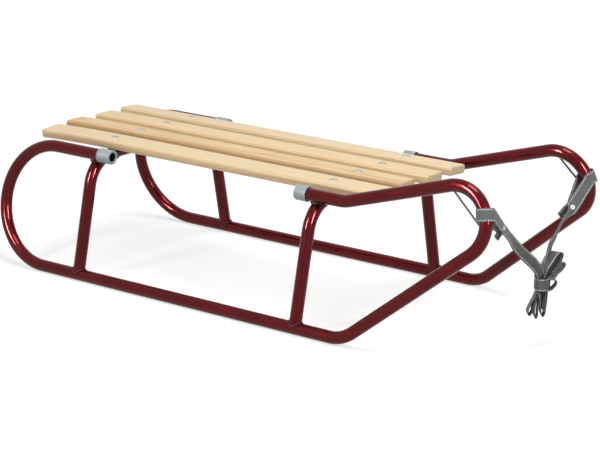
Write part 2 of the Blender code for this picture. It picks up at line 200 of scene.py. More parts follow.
# A closed section carried along a path. Point = path + section x * across + section y * outward, where
# outward = direction x across. The section may differ ring by ring, and a closed line brings its own
# directions.
def carryRings(section, path, across, direction=None):
    path, section = np.asarray(path, float), np.asarray(section, float)
    if section.ndim == 2:
        section = np.repeat(section[None], len(path), axis=0)
    if direction is None:
        direction = pathDirections(path)
    across = np.broadcast_to(np.asarray(across, float), path.shape)
    across = unit(across - direction * np.sum(across * direction, axis=1, keepdims=True))
    outward = np.cross(direction, across)
    return path[:, None] + section[:, :, :1] * across[:, None] + section[:, :, 1:2] * outward[:, None]


# Points of a circle: (radius * cos, radius * sin) at even turns.
def circlePoints(radius, count):
    angle = np.arange(count) * (2 * math.pi / count)
    return np.stack([radius * np.cos(angle), radius * np.sin(angle)], axis=1)


# A rectangle with rounded edges, as (across, up), once round from its right side.
def roundedSection(half, depth, edge, edgePoints, facePoints):
    turn = np.linspace(0.0, math.pi / 2, edgePoints)
    quarter = np.stack([half - edge + edge * np.cos(turn), depth - edge + edge * np.sin(turn)], axis=1)
    flat = np.linspace(half - edge, edge - half, facePoints)[1:-1]
    top = np.stack([flat, np.full(len(flat), depth)], axis=1)
    upper = np.vstack([quarter, top, (quarter * (-1, 1))[::-1]])
    return np.vstack([upper, -upper])


# Points of an arc from one angle to another, about one for each two and a half degrees.
def arcPoints(centre, radius, start, end, step=math.radians(2.5)):
    angle = np.linspace(start, end, max(3, int(abs(end - start) / step) + 2))
    return np.stack([centre[0] + radius * np.cos(angle), centre[1] + radius * np.sin(angle)], axis=1)


# A turned profile: point = base + radius * spoke at the turn's angle + height * axis.
def turnProfile(name, profile, base, axis, count, sharp=50.0, closed=True):
    profile = np.asarray(profile, float)
    axis = unit(axis)
    side = unit(np.cross(axis, (0.0, 0.0, 1.0) if abs(axis[2]) < 0.9 else (1.0, 0.0, 0.0)))
    ring = circlePoints(1.0, count)
    spoke = ring[:, :1] * side + ring[:, 1:] * np.cross(axis, side)
    rings = np.asarray(base) + profile[:, None, :1] * spoke[None] + profile[:, None, 1:2] * axis
    return ringsObject(name, rings, closed, sharp)


# A mesh's doubles are merged and its faces turned outwards.
def cleanMesh(item):
    work = bmesh.new()
    work.from_mesh(item.data)
    bmesh.ops.remove_doubles(work, verts=work.verts, dist=1e-6)
    bmesh.ops.recalc_face_normals(work, faces=work.faces)
    work.to_mesh(item.data)
    work.free()
    return item


# Several objects become one under a new name.
def joinPieces(name, items):
    with bpy.context.temp_override(active_object=items[0], selected_editable_objects=items,
                                   selected_objects=items, object=items[0]):
        bpy.ops.object.join()
    items[0].name = name
    items[0].data.name = name
    return items[0]


# Gives a piece its material and its body, and hides the nodes that it stands for.
def finishPiece(item, slotName, material, *nodes):
    item.data.materials.clear()
    item.data.materials.append(material)
    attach(item, "root")
    if nodes:
        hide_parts(*nodes)
    return item


# A place by a runner's leaning plane: along, up the plane from the ground tube, and tucked inwards.
# Across = half track - up * sin(lean) - tuck * cos(lean); height = up * cos(lean) - tuck * sin(lean).
def sidePlace(along, up, side, tuck=0.0):
    lean = sled["sideLean"]
    across = sled["halfTrack"] - up * np.sin(lean) - tuck * np.cos(lean)
    rise = up * np.cos(lean) - tuck * np.sin(lean)
    parts = np.broadcast_arrays(along - sled["middle"], side * across, sled["tubeRadius"] + rise)
    return np.stack(parts, axis=-1)


# The runner's plane faces outwards and up: (0, side * cos(lean), sin(lean)).
def sideNormal(side):
    return np.array((0.0, side * math.cos(sled["sideLean"]), math.sin(sled["sideLean"])))


noseBend = {"place": 0.7815, "height": 0.20736, "radius": 0.0546}


# A place by the nose bend: its centre + radius at an angle, in the runner's plane.
def nosePlace(angle, radius, side):
    along = noseBend["place"] + radius * np.cos(angle)
    return sidePlace(along, noseBend["height"] + radius * np.sin(angle), side)


# Small helpers to wire up the nodes of one material or world. The middle part of a noise, 0.3 to 0.7, is
# spread over a range. Direct rays are those of the camera, of mirrors and of glass.
class nodeTools:
    def __init__(self, name, store=bpy.data.materials):
        self.owner = store.new(name)
        self.owner.use_nodes = True
        self.tree = self.owner.node_tree

    def put(self, socket, value):
        if isinstance(value, bpy.types.NodeSocket):
            self.tree.links.new(value, socket)
        else:
            socket.default_value = value

    def add(self, kind, inputs):
        node = self.tree.nodes.new(kind)
        for key, value in inputs.items():
            self.put(node.inputs[key], value)
        return node

    def calc(self, operation, first, second=0.0):
        node = self.add("ShaderNodeMath", {0: first, 1: second})
        node.operation = operation
        return node.outputs[0]

    def weigh(self, parts, shares):
        return self.calc("ADD", *(self.calc("MULTIPLY", *pair) for pair in zip(parts, shares)))

    def ramp(self, value, stops, colours):
        node = self.add("ShaderNodeValToRGB", {0: value})
        points = node.color_ramp.elements
        while len(points) < len(stops):
            points.new(0.5)
        for point, stop, colour in zip(points, stops, colours):
            point.position = stop
            point.color = (*colour, 1.0)
        return node.outputs["Color"]

    def mix(self, share, first, second, blend="MIX"):
        node = self.tree.nodes.new("ShaderNodeMix")
        node.data_type = "RGBA"
        node.blend_type = blend
        for socket, value in ((node.inputs[0], share), (node.inputs[6], first), (node.inputs[7], second)):
            self.put(socket, (*value, 1.0) if isinstance(value, tuple) else value)
        return node.outputs[2]

    def remap(self, value, low, high, toLow, toHigh):
        return self.add("ShaderNodeMapRange", {0: value, 1: low, 2: high, 3: toLow, 4: toHigh}).outputs[0]

    def spread(self, noise, low, high):
        return self.remap(noise, 0.3, 0.7, low, high)

    def mapped(self, scale=(1, 1, 1), place=(0, 0, 0)):
        source = self.add("ShaderNodeTexCoord", {}).outputs["Object"]
        inputs = {"Vector": source, "Scale": scale, "Location": place}
        return self.add("ShaderNodeMapping", inputs).outputs[0]

    def noise(self, scale, detail=2.0, roughness=0.5, vector=None):
        inputs = {"Vector": vector or self.mapped(), "Scale": scale, "Detail": detail}
        return self.add("ShaderNodeTexNoise", {**inputs, "Roughness": roughness}).outputs[0]

    def bump(self, height, strength, distance):
        inputs = {"Height": height, "Strength": strength, "Distance": distance}
        return self.add("ShaderNodeBump", inputs).outputs[0]

    def directRays(self):
        light = self.add("ShaderNodeLightPath", {}).outputs
        mirrored = self.calc("MAXIMUM", light["Is Glossy Ray"], light["Is Transmission Ray"])
        return self.calc("MAXIMUM", mirrored, light["Is Camera Ray"])

    def finish(self, inputs):
        shader = self.tree.nodes["Principled BSDF"]
        for key, value in inputs.items():
            self.put(shader.inputs[key], value)
        return self.owner


lacquerValues = {
    "deep": (0.072, 0.0018, 0.0032),
    "bright": (0.120, 0.0032, 0.0056),
    "clouds": (9.0, 3.0),
    "flakes": (900.0, 1.0),
    "shares": (0.65, 0.35),
    "stops": (0.30, 0.72),
    "wear": (35.0, 4.0),
    "roughness": (0.15, 0.24),
    "peel": 260.0,
    "bump": (0.08, 0.0004),
    "surface": {"Metallic": 0.50, "Specular IOR Level": 0.1, "Specular Tint": (0.62, 0.36, 0.33, 1.0),
                "Coat Weight": 0.65, "Coat IOR": 1.27, "Coat Roughness": 0.05},
}


# Candy lacquer: a dark red metallic ground with fine flakes and soft clouds, an orange-peel skin and a
# thin clear coat, which takes the lamps as narrow streaks.
def makeLacquer(values):
    n = nodeTools("burgundyLacquer")
    tone = n.weigh((n.noise(*values["clouds"]), n.noise(*values["flakes"])), values["shares"])
    return n.finish({
        "Base Color": n.ramp(tone, values["stops"], (values["deep"], values["bright"])),
        "Roughness": n.spread(n.noise(*values["wear"]), *values["roughness"]),
        "Normal": n.bump(n.noise(values["peel"]), *values["bump"]), **values["surface"]})


woodValues = {
    "light": (0.86, 0.650, 0.390),
    "middle": (0.775, 0.555, 0.300),
    "dark": (0.555, 0.335, 0.145),
    "pore": (0.46, 0.265, 0.110),
    "ringTurn": 1650.0,
    "ringBend": 0.012,
    "pith": (0.035, 0.013, 2.1, -0.165, 0.02),
    "drift": (0.37, 0.11, 0.05),
    "noises": {
        "wander": ((2.2, 3.0, 0.55), (0.9, 9.0, 9.0)),
        "fibre": ((1.0, 5.0, 0.62), (7.0, 420.0, 420.0)),
        "pores": ((1.0, 2.0, 0.5), (38.0, 1100.0, 1100.0)),
        "clouds": ((1.0, 2.0, 0.5), (2.5, 14.0, 14.0)),
    },
    "grain": (0.42, 0.62),
    "stops": (0.18, 0.52, 0.98),
    "cloudy": (0.35, 0.75, 0.0, 0.40),
    "porous": (0.60, 0.74, 0.0, 0.38),
    # Where the painted shade on the sides starts and ends, across the board.
    "paintedSideShade": (0.0185, 0.0212, 0.0, 1.0),
    "relief": (0.6, -0.9),
    "bump": (0.30, 0.0005),
    "roughness": (0.44, 0.62),
    "surface": {"Coat Weight": 0.06, "Coat Roughness": 0.32},
    "boards": [
        {"seed": 3.0, "tint": (0.96, 1.05, 1.19), "paintedSideShade": (1.00, 0.90, 0.78), "place": -0.09852},
        {"seed": 4.7, "tint": (0.90, 0.87, 0.83), "paintedSideShade": (0.75, 0.61, 0.43), "place": -0.03274},
        {"seed": 6.4, "tint": (0.99, 1.03, 1.11), "paintedSideShade": (1.00, 0.92, 0.76), "place": 0.03274},
        {"seed": 8.1, "tint": (0.97, 1.05, 1.22), "paintedSideShade": (1.00, 0.89, 0.68), "place": 0.09852},
    ],
}


# Growth rings are shells round a far pith line along the board: tone = sine of the distance from it, a
# little bent by noise. Fine fibres and pores are noise drawn out along the board. The sides get a painted
# shade, browner and darker than the top, warmed like the light that the boards throw on each other: the
# share grows with the distance from the board's middle. The pith stands aside + sway * sin(swing * seed)
# and below + heave * cos(seed), so no two boards have the same rings.
def makeWood(name, values, number):
    n = nodeTools(name)
    board = values["boards"][number]
    seed = board["seed"]
    light, middle, dark, pore = (
        tuple(part * tint for part, tint in zip(values[key], board["tint"]))
        for key in ("light", "middle", "dark", "pore"))
    drift = tuple(seed * share for share in values["drift"])
    wander, fibre, pores, clouds = (
        n.noise(*noise, n.mapped(stretch, drift)) for noise, stretch in values["noises"].values())
    aside, sway, swing, below, heave = values["pith"]
    pith = (0.0, aside + sway * math.sin(swing * seed), below + heave * math.cos(seed))
    parts = n.add("ShaderNodeSeparateXYZ", {0: n.mapped((1, 1, 1), pith)})
    square = n.calc("ADD", *(n.calc("POWER", parts.outputs[axis], 2.0) for axis in (1, 2)))
    radius = n.calc("ADD", n.calc("SQRT", square), n.calc("MULTIPLY", wander, values["ringBend"]))
    wave = n.calc("SINE", n.calc("MULTIPLY", radius, values["ringTurn"]))
    rings = n.calc("MULTIPLY", n.calc("ADD", wave, 1.0), 0.5)
    colour = n.ramp(n.weigh((rings, fibre), values["grain"]), values["stops"], (light, middle, dark))
    colour = n.mix(n.remap(clouds, *values["cloudy"]), colour, middle)
    porous = n.remap(pores, *values["porous"])
    colour = n.mix(porous, colour, pore)
    # Painted shade on the board's sides, browner and darker the farther from its middle.
    offset = n.calc("ABSOLUTE", n.calc("SUBTRACT", parts.outputs[1], pith[1] + board["place"]))
    colour = n.mix(n.remap(offset, *values["paintedSideShade"]), colour, board["paintedSideShade"], "MULTIPLY")
    height = n.weigh((fibre, porous), values["relief"])
    return n.finish({
        "Base Color": colour, "Roughness": n.spread(fibre, *values["roughness"]),
        "Normal": n.bump(height, *values["bump"]), **values["surface"]})


mottledValues = {
    "capPlastic": {"dark": (0.285, 0.320, 0.338), "light": (0.350, 0.383, 0.402), "noise": (60.0, 4.0),
                   "stops": (0.30, 0.70), "roughness": (0.38, 0.52), "grain": 1500.0, "bump": (0.18, 0.0003)},
    "darkSteel": {"dark": (0.022, 0.024, 0.022), "light": (0.055, 0.058, 0.053), "noise": (140.0, 4.0, 0.6),
                  "stops": (0.30, 0.72), "roughness": (0.34, 0.55), "bump": (0.2, 0.0003),
                  "surface": {"Metallic": 0.75}},
    # Weld paint is nearly black, partly a painted shade for the wedge under the tube ends.
    "weldPaintWithShade": {"dark": (0.012, 0.002, 0.003), "light": (0.052, 0.003, 0.005), "noise": (420.0, 4.0, 0.6),
                    "stops": (0.32, 0.74), "roughness": (0.38, 0.55), "bump": (0.35, 0.0005),
                    "surface": {"Metallic": 0.4, "Specular IOR Level": 0.2, "Coat Weight": 0.3,
                                "Coat IOR": 1.3, "Coat Roughness": 0.15}},
    "zincPlate": {"dark": (0.27, 0.258, 0.225), "light": (0.38, 0.365, 0.32), "noise": (300.0, 3.0),
                  "cells": 520.0, "shares": (0.5, 0.6), "stops": (0.25, 0.75), "roughness": (0.44, 0.60),
                  "bump": (0.15, 0.0003), "surface": {"Metallic": 0.7}},
}


# Plain stuffs with clouds from dark to light that also set the gloss. Plastic has a fine spark-eroded grain,
# zinc has flat crystal cells under its clouds, and paint lies in coarse lumps over the welds. The welds'
# paint
# is nearly black, darker than the lacquer: it is partly a painted shade for the wedge under the tube ends.
def makeMottled(name):
    n = nodeTools(name)
    values = mottledValues[name]
    tone = mottle = n.noise(*values["noise"])
    if "cells" in values:
        cells = n.add("ShaderNodeTexVoronoi", {"Vector": n.mapped(), "Scale": values["cells"]})
        tone = n.weigh((cells.outputs["Distance"], mottle), values["shares"])
    relief = n.noise(values["grain"]) if "grain" in values else tone
    return n.finish({
        "Base Color": n.ramp(tone, values["stops"], (values["dark"], values["light"])),
        "Roughness": n.spread(mottle, *values["roughness"]),
        "Normal": n.bump(relief, *values["bump"]), **values.get("surface", {})})


strapValues = {
    "width": 0.020,
    "thickness": 0.0018,
    "edge": 0.0007,
    "edgePoints": 4,
    "facePoints": 13,
    "step": 0.0016,
    "layerGap": 0.0003,
    "slack": 0.0008,
    "turnPoints": 40,
    "straightPoints": 9,
    "sharp": 60.0,
}
webbingValues = {
    "dark": (0.040, 0.041, 0.041),
    "middle": (0.102, 0.106, 0.108),
    "light": (0.240, 0.248, 0.254),
    "thread": (0.84, 0.84, 0.84),
    "stops": (0.22, 0.55, 0.95),
    "dirt": (130.0, 4.0, 0.6),
    "slant": 1.3,
    "weave": (0.22, 0.28),
    "tones": (0.62, 0.55),
    "relief": (1.0, 1.1),
    "bump": (0.55, 0.0006),
    "surface": {"Roughness": 0.86, "Sheen Weight": 0.10, "Sheen Roughness": 0.5},
    "threadInset": 0.0023,
    "threadEdge": (0.00055, 0.000825),
    "stitch": 0.0034,
    "dash": (0.25, 0.31),
    "rib": 0.00155,
    "weft": 0.0013,
    # Painted shade for each part of the strap, multiplied into its colour from start to end.
    "parts": {
        "strapRight": {"start": 0.160, "end": 0.205, "paintedShade": (0.38, 0.37, 0.34)},
        "strapLeft": {"start": 0.290, "end": 0.330, "paintedShade": (0.85, 0.85, 0.84)},
        "strapWrap": {"start": -0.01, "end": 0.0, "paintedShade": (0.83, 0.84, 0.85)},
        "strapTuck": {"start": -0.01, "end": 0.0, "paintedShade": (0.55, 0.55, 0.57)},
        "strapHankFirst": {"start": 0.112, "end": 0.130, "paintedShade": (0.34, 0.34, 0.37)},
        "strapHankSecond": {"start": -0.01, "end": 0.0, "paintedShade": (0.88, 0.88, 0.88)},
    },
}


# The map gives lengths across the band and along it. Ribs = sine of across, weft = sine of along, slanted
# by the rib. A dashed white thread runs near both edges: distance from the edge = inset. Each part of the
# strap gets its own painted shade, where the band lies in shade or faces away from the lamps: the share
# grows from start to end, counted along it.
def makeWebbing(values, label):
    n = nodeTools(label.replace("strap", "greyWebbing"))
    part = values["parts"][label]
    source = n.add("ShaderNodeUVMap", {})
    source.uv_map = "lengths"
    parts = n.add("ShaderNodeSeparateXYZ", {0: source.outputs[0]})
    across, along = parts.outputs[0], parts.outputs[1]
    warp = n.calc("SINE", n.calc("MULTIPLY", across, 2 * math.pi / values["rib"]))
    weft = n.calc("SINE", n.weigh((along, warp), (2 * math.pi / values["weft"], values["slant"])))
    weave = n.calc("ADD", n.weigh((warp, weft), values["weave"]), 0.5)
    tone = n.weigh((weave, n.noise(*values["dirt"])), values["tones"])
    colour = n.ramp(tone, values["stops"], (values["dark"], values["middle"], values["light"]))
    # Painted shade: the part's shade colour is multiplied in, growing from start to end.
    shadeShare = n.remap(along, part["start"], part["end"], 0.0, 1.0)
    colour = n.mix(shadeShare, colour, part["paintedShade"], "MULTIPLY")
    fromEdge = n.calc("PINGPONG", across, strapValues["width"] / 2)
    aside = n.calc("ABSOLUTE", n.calc("SUBTRACT", fromEdge, values["threadInset"]))
    line = n.remap(aside, *values["threadEdge"], 1.0, 0.0)
    beat = n.calc("FRACT", n.calc("DIVIDE", along, values["stitch"]))
    dash = n.remap(n.calc("ABSOLUTE", n.calc("SUBTRACT", beat, 0.5)), *values["dash"], 1.0, 0.0)
    stitch = n.calc("MULTIPLY", line, dash)
    height = n.weigh((weave, stitch), values["relief"])
    return n.finish({
        "Base Color": n.mix(stitch, colour, values["thread"]),
        "Normal": n.bump(height, *values["bump"]), **values["surface"]})


lacquer = makeLacquer(lacquerValues)
plastic, rodSteel, weldPaintAndShade, zinc = map(makeMottled, mottledValues)
webbing = {label: makeWebbing(webbingValues, label) for label in webbingValues["parts"]}
print("materials are made")

# The picture's own directions at the hank: to the right, and towards the viewer.
picture = {"right": np.array((0.7986, 0.6018, 0.0)), "near": np.array((0.6018, -0.7986, 0.0))}
facingOn = (-0.600, 0.795, -0.100)


# Carries the band along its stations. The widths, turned to one side of each other, say how it twists.
# Its section starts at the lower right edge.
def addStrap(name, stations, widths, values, *nodes):
    widths = unit(widths)
    turned = np.cumprod(np.sign(np.concatenate([[1.0], np.sum(widths[1:] * widths[:-1], axis=1)])))
    path, across = smoothPath(stations, values["step"], widths * turned[:, None])
    half, depth = values["width"] / 2, values["thickness"] / 2
    section = roundedSection(half, depth, values["edge"], values["edgePoints"], values["facePoints"])
    section = np.roll(section, values["edgePoints"], axis=0)
    rings = carryRings(section, path, across)
    item = ringsObject(name, rings, True, values["sharp"], section[:, 0] + half, pathLengths(path))
    finishPiece(item, "webbing", webbing[name], *nodes)
    return item, path


noseLoops = {
    "Right": {"side": -1, "angle": math.radians(21.0), "tilt": math.radians(13.0),
              "rivet": (0.4745, -0.1139, 0.2070), "width": (-0.36, 0.67, 0.65),
              "tail": (-0.0056, -0.0055, -0.0146), "tailWidth": (-0.50, 0.75, 0.42)},
    "Left": {"side": 1, "angle": math.radians(19.0), "tilt": math.radians(19.0),
             "rivet": (0.4620, 0.1092, 0.1898), "width": (-0.620, -0.350, 0.700),
             "tail": (-0.0135, -0.0125, -0.0140), "tailWidth": (0.15, -0.71, 0.69)},
}


# The strap's turn round a nose tube, from the tail's end to the rivet's outer face: tail, straight, a
# circle about the tube, and straight again. Circle = centre + radius * (cos * outwards + sin * the
# runner's normal). On the straights the width turns evenly from the tube's direction to the rivet's.
def strapLoop(values):
    side, strap = values["side"], strapValues
    centre = nosePlace(values["angle"], noseBend["radius"], side)
    radial = unit(nosePlace(values["tilt"], noseBend["radius"], side) - nosePlace(values["tilt"], 0.0, side))
    normal = sideNormal(side)
    alongTube = np.cross(radial, normal) * -side
    rivet, tail = np.asarray(values["rivet"], float), np.asarray(values["tail"])
    offset = rivet - centre
    aim = math.atan2(offset @ normal, offset @ radial)
    inside = noseBend["radius"] - sled["tubeRadius"]
    bulge = inside - math.sqrt(inside ** 2 - strap["width"] ** 2 / 4)
    radius = sled["tubeRadius"] + bulge + strap["slack"] + strap["thickness"] / 2
    opening = math.acos(radius / math.hypot(offset @ radial, offset @ normal))
    angle = aim - opening - 2 * (math.pi - opening) * np.linspace(0.0, 1.0, strap["turnPoints"])
    turn = centre + radius * (np.cos(angle)[:, None] * radial + np.sin(angle)[:, None] * normal)
    width = unit(values["width"])
    alongTube *= np.sign(alongTube @ width)
    face = unit(np.cross(unit(offset), width))
    face *= np.sign(face @ (normal * math.cos(aim) - radial * math.sin(aim)))
    layer = face * (strap["thickness"] / 2 + strap["layerGap"])
    share = np.linspace(0.0, 1.0, strap["straightPoints"])[:, None]
    tailWidth = unit(values["tailWidth"])
    rows = [(rivet - layer + tail * share[::-1], tailWidth * share[::-1] + width * share),
            ((rivet - layer) * (1 - share) + turn[0] * share, width * (1 - share) + alongTube * share),
            (turn, np.repeat(alongTube[None], len(turn), axis=0)),
            (turn[-1] * (1 - share) + (rivet + layer) * share, alongTube * (1 - share) + width * share)]
    points = np.vstack([rows[0][0]] + [points[1:] for points, widths in rows[1:]])
    return points, np.vstack([rows[0][1]] + [widths[1:] for points, widths in rows[1:]]), face


rivetValues = {"head": 0.0043, "rise": 0.0012, "ring": 0.34, "dimple": (0.22, 0.10), "middleRise": 0.05,
               "sunk": 0.0002, "bendPoints": 11, "sides": 36}


# A hollow rivet through both layers: on each face a low domed ring with a dimple in its middle.
def addRivet(name, place, axis, values):
    r, rise, ring, sunk = values["head"], values["rise"], values["ring"], values["sunk"]
    face = strapValues["thickness"] + strapValues["layerGap"]
    bend = np.linspace(0.0, math.pi, values["bendPoints"])
    dome = [(r * (1 - ring + ring * math.cos(b)), face + rise * math.sin(b)) for b in bend]
    across, up = values["dimple"]
    dimple = [(r * across, face + rise * up), (sunk, face + rise * values["middleRise"])]
    half = [(r - sunk, face - sunk)] + dome + dimple
    profile = [(radius, -height) for radius, height in half[::-1]] + half
    item = turnProfile(name, profile, place, axis, values["sides"])
    return finishPiece(cleanMesh(item), "rod_steel", zinc)


# Stations of the strap's parts below the rivets, in metres, each with the way that its width points.
rightRun = {
    "points": [(0.4765, -0.1015, 0.1959), (0.4785, -0.0837, 0.1767), (0.4795, -0.0658, 0.1614),
               (0.4802, -0.0433, 0.1449), (0.4808, -0.0236, 0.1293), (0.4809, -0.0135, 0.1176),
               (0.4791, -0.0079, 0.1064), (0.4782, -0.0049, 0.0961), (0.4788, -0.0044, 0.0867),
               (0.4792, -0.0028, 0.0769), (0.4783, -0.0010, 0.0669), (0.4774, -0.0005, 0.0571),
               (0.4781, 0.0001, 0.0501), (0.4801, 0.0016, 0.0470), (0.4818, 0.0029, 0.0511),
               (0.4830, 0.0038, 0.0619), (0.4838, 0.0044, 0.0729), (0.4842, 0.0047, 0.0840),
               (0.4838, 0.0044, 0.0950)],
    "widths": [(-0.39, 0.67, 0.63), (-0.19, 0.69, 0.70), (-0.13, 0.62, 0.78), (-0.11, 0.60, 0.79),
               (-0.04, 0.69, 0.72), (-0.02, 0.90, 0.40), (0.0, 1.0, 0.0), (0.0, 1.0, 0.0), (-0.05, 1.0, 0.0),
               (-0.22, 0.97, 0.0), (-0.45, 0.88, -0.05)] + [facingOn] * 8,
}
leftRun = {
    "points": [(0.4632, 0.0990, 0.1850), (0.4645, 0.0741, 0.1728), (0.4665, 0.0547, 0.1578),
               (0.4695, 0.0346, 0.1459), (0.4725, 0.0246, 0.1305), (0.4758, 0.0131, 0.1168),
               (0.4794, 0.0048, 0.1081),
               (0.4746, 0.0062, 0.0974), (0.4704, 0.0018, 0.0882), (0.4698, -0.0037, 0.0816),
               (0.4686, -0.0071, 0.0751), (0.4653, -0.0096, 0.0664), (0.4627, -0.0115, 0.0584),
               (0.4617, -0.0123, 0.0527), (0.4636, -0.0108, 0.0483), (0.4665, -0.0087, 0.0518),
               (0.4678, -0.0077, 0.0601), (0.4694, -0.0065, 0.0688), (0.4715, -0.0049, 0.0778),
               (0.4708, -0.0017, 0.0860), (0.4705, -0.0007, 0.0951)],
    "widths": [(0.15, -0.42, 0.90), (0.41, -0.46, 0.79), (0.33, -0.50, 0.80), (0.18, -0.66, 0.73),
               (0.06, -0.80, 0.60), (0.10, -0.88, 0.40), (0.35, -0.93, 0.0)] + [facingOn] * 14,
}
hankFirst = {
    "points": [(0.4686, 0.0055, 0.0949), (0.4685, 0.0053, 0.0854), (0.4706, -0.0006, 0.0756),
               (0.4697, -0.0043, 0.0649), (0.4699, -0.0061, 0.0554), (0.4701, -0.0059, 0.0475),
               (0.4718, -0.0047, 0.0434), (0.4734, -0.0035, 0.0475), (0.4737, -0.0032, 0.0554),
               (0.4745, -0.0027, 0.0657), (0.4747, 0.0000, 0.0753), (0.4749, 0.0026, 0.0858),
               (0.4747, 0.0038, 0.0965), (0.4780, 0.0029, 0.1177), (0.4780, 0.0155, 0.1281),
               (0.4780, 0.0284, 0.1363), (0.4780, 0.0364, 0.1385), (0.4780, 0.0446, 0.1338),
               (0.4780, 0.0400, 0.1248), (0.4780, 0.0265, 0.1161), (0.4780, 0.0148, 0.1086)],
    "widths": [facingOn] * 13 + [(1.0, -0.2, 0.1)] + [(1.0, 0.0, 0.05)] * 6 + [(0.9, -0.4, 0.0)],
}
hankSecond = {
    "points": [(0.4772, 0.0057, 0.0949), (0.4771, 0.0056, 0.0839), (0.4782, 0.0039, 0.0729),
               (0.4796, 0.0012, 0.0634), (0.4800, 0.0015, 0.0571), (0.4813, 0.0025, 0.0549),
               (0.4821, 0.0031, 0.0587), (0.4821, 0.0031, 0.0682), (0.4822, 0.0031, 0.0792),
               (0.4828, 0.0036, 0.0902), (0.4836, 0.0042, 0.1012), (0.4780, 0.0230, 0.1094),
               (0.4780, 0.0383, 0.1165), (0.4780, 0.0487, 0.1206), (0.4780, 0.0532, 0.1160),
               (0.4780, 0.0454, 0.1104), (0.4780, 0.0304, 0.1056), (0.4815, 0.0150, 0.1036)],
    "widths": [facingOn] * 11 + [(1.0, -0.2, 0.0)] + [(1.0, 0.0, 0.0)] * 4 + [(0.9, -0.4, 0.0)] * 2,
}
tuckFold = {
    "points": [(0.4849, -0.0029, 0.1048), (0.4902, 0.0011, 0.1067), (0.4950, 0.0047, 0.1068),
               (0.4981, 0.0070, 0.1040), (0.4977, 0.0067, 0.0996), (0.4953, 0.0049, 0.0949),
               (0.4921, 0.0025, 0.0911), (0.4872, -0.0012, 0.0891)],
    "widths": [facingOn] * 8,
}
wrapValues = {"centre": (0.4785, 0.0002, 0.0984), "halfRight": 0.0103, "halfNear": 0.0128, "turns": 1.42,
              "start": math.radians(200.0), "growth": 0.10, "squareness": 3.0, "points": 90}


# The band round the hank: a rounded square followed about the hank's middle, growing with each turn.
# Reach = (|cos| ** n + |sin| ** n) ** (-1 / n).
def wrapStations(values):
    angle = values["start"] + np.linspace(0.0, values["turns"] * 2 * math.pi, values["points"])
    grow = 1.0 + values["growth"] * (angle - values["start"]) / (2 * math.pi)
    n = values["squareness"]
    square = (np.abs(np.cos(angle)) ** n + np.abs(np.sin(angle)) ** n) ** (-1 / n) * grow
    right = (values["halfRight"] * square * np.cos(angle))[:, None] * picture["right"]
    near = (values["halfNear"] * square * np.sin(angle))[:, None] * picture["near"]
    points = np.asarray(values["centre"]) + right + near
    return points, np.repeat([(0.0, 0.0, 1.0)], len(points), axis=0)


# Hangs each part of the strap and prints its length, and the whole without the wrap and the tuck.
def hangStrap():
    parts = []
    for label, run in (("Right", rightRun), ("Left", leftRun)):
        loop, widths, face = strapLoop(noseLoops[label])
        place = noseLoops[label]["rivet"]
        rivet = addRivet(f"rivet{label}", place, face, rivetValues)
        stations, widths = np.vstack([loop, run["points"]]), np.vstack([widths, run["widths"]])
        item, path = addStrap(f"strap{label}", stations, widths, strapValues, f"strap_{label.lower()}")
        parts.append((item, path, place, [rivet]))
    wrap, path = addStrap("strapWrap", *wrapStations(wrapValues), strapValues, "strap_hank")
    tuck, path = addStrap("strapTuck", *tuckFold.values(), strapValues, "strap_hank")
    first, path = addStrap("strapHankFirst", *hankFirst.values(), strapValues, "strap_hank")
    parts.append((first, path, path[0], [wrap, tuck]))
    second, path = addStrap("strapHankSecond", *hankSecond.values(), strapValues, "strap_hank")
    parts.append((second, path, path[0], []))
    whole = 0.0
    for item, path, place, extras in parts:
        length = round(float(pathLengths(path)[-1]), 3)
        whole += length
        print(item.name, "is", length, "m long")
    print("tow strap is hung,", round(whole, 3), "m without its wrap and tuck")


hangStrap()

runnerValues = {
    "sides": 48,
    "step": 0.012,
    "rearBend": 0.1005,
    "rearEnd": 0.1195,
    "cornerPlace": 0.6165,
    "cornerBend": 0.063,
    "slope": math.radians(39.6),
    "kneePlace": 0.584,
    "kneeBend": 0.059,
    "frontLevel": 0.205551,
    "frontTuck": 0.004787,
    "frontEnd": 0.4973,
    "bore": 0.05,
}


# The bend at a corner between two straight runs: an arc that touches both.
def cornerArc(corner, angleIn, angleOut, radius):
    turn = angleOut - angleIn
    side = math.copysign(1.0, turn)
    reach = radius * math.tan(abs(turn) / 2)
    start = (corner[0] - reach * math.cos(angleIn), corner[1] - reach * math.sin(angleIn))
    centre = (start[0] - side * radius * math.sin(angleIn), start[1] + side * radius * math.cos(angleIn))
    first = angleIn - side * math.pi / 2
    return arcPoints(centre, radius, first, first + turn)


# One side's tube in its own plane: rear end, half circle, ground, slope, nose, knee and front end. Past
# the nose the tube is tucked inwards in step with its way back.
def runnerPath(values, side):
    run = noseBend["place"] - values["kneePlace"]
    climb = noseBend["height"] - values["frontLevel"]
    rise = math.atan2(climb, run) + math.asin(noseBend["radius"] / math.hypot(run, climb))
    nose = (noseBend["place"], noseBend["height"])
    flat = np.vstack([
        [(values["rearEnd"], sled["runnerRise"])],
        arcPoints((0.0, values["rearBend"]), values["rearBend"], math.pi / 2, 3 * math.pi / 2),
        cornerArc((values["cornerPlace"], 0.0), 0.0, values["slope"], values["cornerBend"]),
        arcPoints(nose, noseBend["radius"], values["slope"] - math.pi / 2, math.pi / 2 + rise),
        cornerArc((values["kneePlace"], values["frontLevel"]), math.pi + rise, math.pi, values["kneeBend"]),
        [(values["frontEnd"], values["frontLevel"])],
    ])
    tuck = values["frontTuck"] * np.clip((noseBend["place"] - flat[:, 0]) / run, 0.0, 1.0)
    tuck[:int(np.argmax(flat[:, 0]))] = 0.0
    return sidePlace(flat[:, 0], flat[:, 1], side, tuck)


